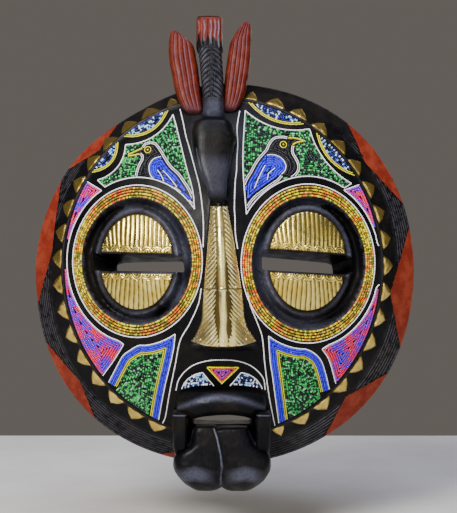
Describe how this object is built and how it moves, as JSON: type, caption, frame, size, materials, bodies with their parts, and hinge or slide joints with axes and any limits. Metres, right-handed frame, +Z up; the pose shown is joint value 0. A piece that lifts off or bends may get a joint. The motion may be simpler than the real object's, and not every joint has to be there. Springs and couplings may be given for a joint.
{
  "type": "carved wall mask",
  "caption": "Round carved wooden wall mask with a domed face, a bird crest, bead inlay panels, embossed brass eyelids and nose, and a swinging wire hanging loop.",
  "frame": {"origin": "hanging point: where the raised wire loop sits on its wall hook, on the flat back plane", "axes": "+Z up towards the crest, +X to the viewer's right, the face looks along -Y and the flat back lies in the plane Y = 0"},
  "size_m": [0.3785, 0.1201, 0.4618],
  "materials": {
    "carved_wood": "black stain under satin wax",
    "red_paint": "matte brick-red paint on the wood",
    "brass_sheet": "thin sheet, chased and worn bright on its ridges",
    "beads_amber": "opaque glass seed beads, yellow to orange-red",
    "beads_green": "opaque and lined glass seed beads",
    "beads_navy": "opaque glass seed beads",
    "beads_magenta": "opaque glass seed beads, red, purple and blue mixed",
    "beads_blue": "opaque glass seed beads",
    "beads_pale_blue": "opaque glass seed beads",
    "steel_wire": "plain drawn wire"
  },
  "bodies": {
    "mask": {"bead_cheek_left": "beads_blue", "bead_cheek_right": "beads_blue", "bead_crescent_left": "beads_magenta", "bead_crescent_lower_right": "beads_magenta", "bead_crescent_upper_right": "beads_magenta", "bead_forehead_left": "beads_green", "bead_forehead_right": "beads_green", "bead_lens_lower_left": "beads_navy", "bead_lens_lower_right": "beads_navy", "bead_lens_upper_left": "beads_navy", "bead_lens_upper_right": "beads_navy", "bead_lip_fan_left": "beads_pale_blue", "bead_lip_fan_right": "beads_pale_blue", "bead_lip_triangle": "beads_magenta", "bead_ring_left": "beads_amber", "bead_ring_right": "beads_amber", "eye_plate_lower_left": "brass_sheet", "eye_plate_lower_right": "brass_sheet", "eye_plate_upper_left": "brass_sheet", "eye_plate_upper_right": "brass_sheet", "mask_body": "carved_wood", "nose_plate_lower": "brass_sheet", "nose_plate_upper": "brass_sheet", "rim_triangle_left_01": "brass_sheet", "rim_triangle_left_02": "brass_sheet", "rim_triangle_left_03": "brass_sheet", "rim_triangle_left_04": "brass_sheet", "rim_triangle_left_05": "brass_sheet", "rim_triangle_left_06": "brass_sheet", "rim_triangle_left_07": "brass_sheet", "rim_triangle_left_08": "brass_sheet", "rim_triangle_left_09": "brass_sheet", "rim_triangle_left_10": "brass_sheet", "rim_triangle_left_11": "brass_sheet", "rim_triangle_left_12": "brass_sheet", "rim_triangle_left_13": "brass_sheet", "rim_triangle_left_14": "brass_sheet", "rim_triangle_left_15": "brass_sheet", "rim_triangle_left_16": "brass_sheet", "rim_triangle_left_17": "brass_sheet", "rim_triangle_right_01": "brass_sheet", "rim_triangle_right_02": "brass_sheet", "rim_triangle_right_03": "brass_sheet", "rim_triangle_right_04": "brass_sheet", "rim_triangle_right_05": "brass_sheet", "rim_triangle_right_06": "brass_sheet", "rim_triangle_right_07": "brass_sheet", "rim_triangle_right_08": "brass_sheet", "rim_triangle_right_09": "brass_sheet", "rim_triangle_right_10": "brass_sheet", "rim_triangle_right_11": "brass_sheet", "rim_triangle_right_12": "brass_sheet", "rim_triangle_right_13": "brass_sheet", "rim_triangle_right_14": "brass_sheet", "rim_triangle_right_15": "brass_sheet", "rim_triangle_right_16": "brass_sheet", "rim_triangle_right_17": "brass_sheet", "rim_triangle_right_18": "brass_sheet"},
    "hanger": {"hanging_loop": "steel_wire"}
  },
  "joints": [
    {"name": "hanger_swing", "type": "hinge", "parent": "mask", "child": "hanger", "pos_m": [0, -0.003, -0.0206], "axis": [1, 0, 0], "range_deg": [0, 175]}
  ]
}
